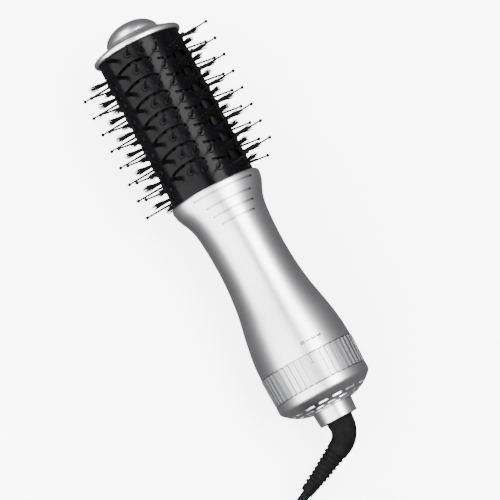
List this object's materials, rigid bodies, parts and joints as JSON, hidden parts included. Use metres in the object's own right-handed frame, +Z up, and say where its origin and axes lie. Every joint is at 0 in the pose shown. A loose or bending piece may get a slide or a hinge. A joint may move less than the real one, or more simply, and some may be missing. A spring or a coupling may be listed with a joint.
{
  "type": "hot air brush",
  "caption": "Hot air brush with a ribbed selector ring, a waisted handle, an oval vented barrel set with ball-tipped pins and tufts, a domed tip and a swivel cord.",
  "frame": {"origin": "on the resting surface, under the middle of the brush as it lies on its back (cord, coil and plug left out)", "axes": "+Y towards the brush's tip, +Z up out of its face, +X to the right seen from above the face"},
  "size_m": [0.1062, 0.3469, 0.0682],
  "materials": {
    "silver_shell": "satin metallic silver paint",
    "barrel_black": "high gloss black",
    "pin_black": "satin black nylon",
    "tuft_black": "fine black bristle fibres",
    "cord_black": "matte black cord jacket",
    "rubber_black": "matte black moulded rubber",
    "steel": "plated steel",
    "brass": "bright brass",
    "winding": "enamelled copper and resistance wire",
    "mica": "pressed mica board",
    "board_green": "solder-masked board",
    "inner_plastic": "plain dark moulding"
  },
  "bodies": {
    "handle": {"handle_front_shell": "silver_shell", "handle_rear_shell": "silver_shell", "handle_screws": "steel", "rear_cap": "silver_shell", "inlet_filter": "inner_plastic", "cord_collar": "silver_shell", "selector_switch": "inner_plastic", "fan_shroud": "inner_plastic", "motor_mount": "inner_plastic", "motor_can": "steel", "motor_bearings": "brass", "motor_magnets": "inner_plastic", "rectifier_board": "board_green", "rectifier_diodes": "inner_plastic", "lead_wires": "inner_plastic", "barrel_base_collar": "inner_plastic", "barrel_shell": "barrel_black", "barrel_end_plate": "inner_plastic", "tip_cap": "silver_shell", "tip_cap_screw": "steel", "heater_sleeve": "mica", "heater_board_long": "mica", "heater_board_cross": "mica", "heater_coil": "winding", "thermostat": "steel", "thermal_fuse": "brass", "pin_strip_01": "pin_black", "pin_strip_02": "pin_black", "pin_strip_03": "pin_black", "pin_strip_04": "pin_black", "pin_strip_05": "pin_black", "pin_strip_06": "pin_black", "pin_strip_07": "pin_black", "pin_strip_08": "pin_black", "pin_strip_09": "pin_black", "pin_strip_10": "pin_black", "pin_strip_11": "pin_black", "pin_strip_12": "pin_black", "tuft_strip_01": "tuft_black", "tuft_strip_02": "tuft_black", "tuft_strip_03": "tuft_black", "tuft_strip_04": "tuft_black", "tuft_strip_05": "tuft_black", "tuft_strip_06": "tuft_black", "cord": "cord_black", "cord_coil": "cord_black", "cord_tail": "cord_black", "cord_tie": "rubber_black", "plug_body": "rubber_black", "plug_blades": "brass"},
    "selector": {"selector_ring": "silver_shell", "selector_slider": "inner_plastic"},
    "rotor": {"motor_shaft": "steel", "armature": "winding", "fan_impeller": "inner_plastic"},
    "cord_swivel": {"cord_boot": "rubber_black", "swivel_bush": "inner_plastic", "contact_rings": "brass"}
  },
  "joints": [
    {"name": "selector_turn", "type": "hinge", "parent": "handle", "child": "selector", "pos_m": [0, -0.07175, 0.02531], "axis": [0, 0.9981, 0.0613], "range_deg": [0, 21]},
    {"name": "rotor_spin", "type": "hinge", "parent": "handle", "child": "rotor", "pos_m": [0, -0.03832, 0.02737], "axis": [0, 0.9981, 0.0613], "continuous": true},
    {"name": "cord_swivel_turn", "type": "hinge", "parent": "handle", "child": "cord_swivel", "pos_m": [0, -0.09421, 0.02393], "axis": [0, 0.9981, 0.0613], "continuous": true}
  ]
}
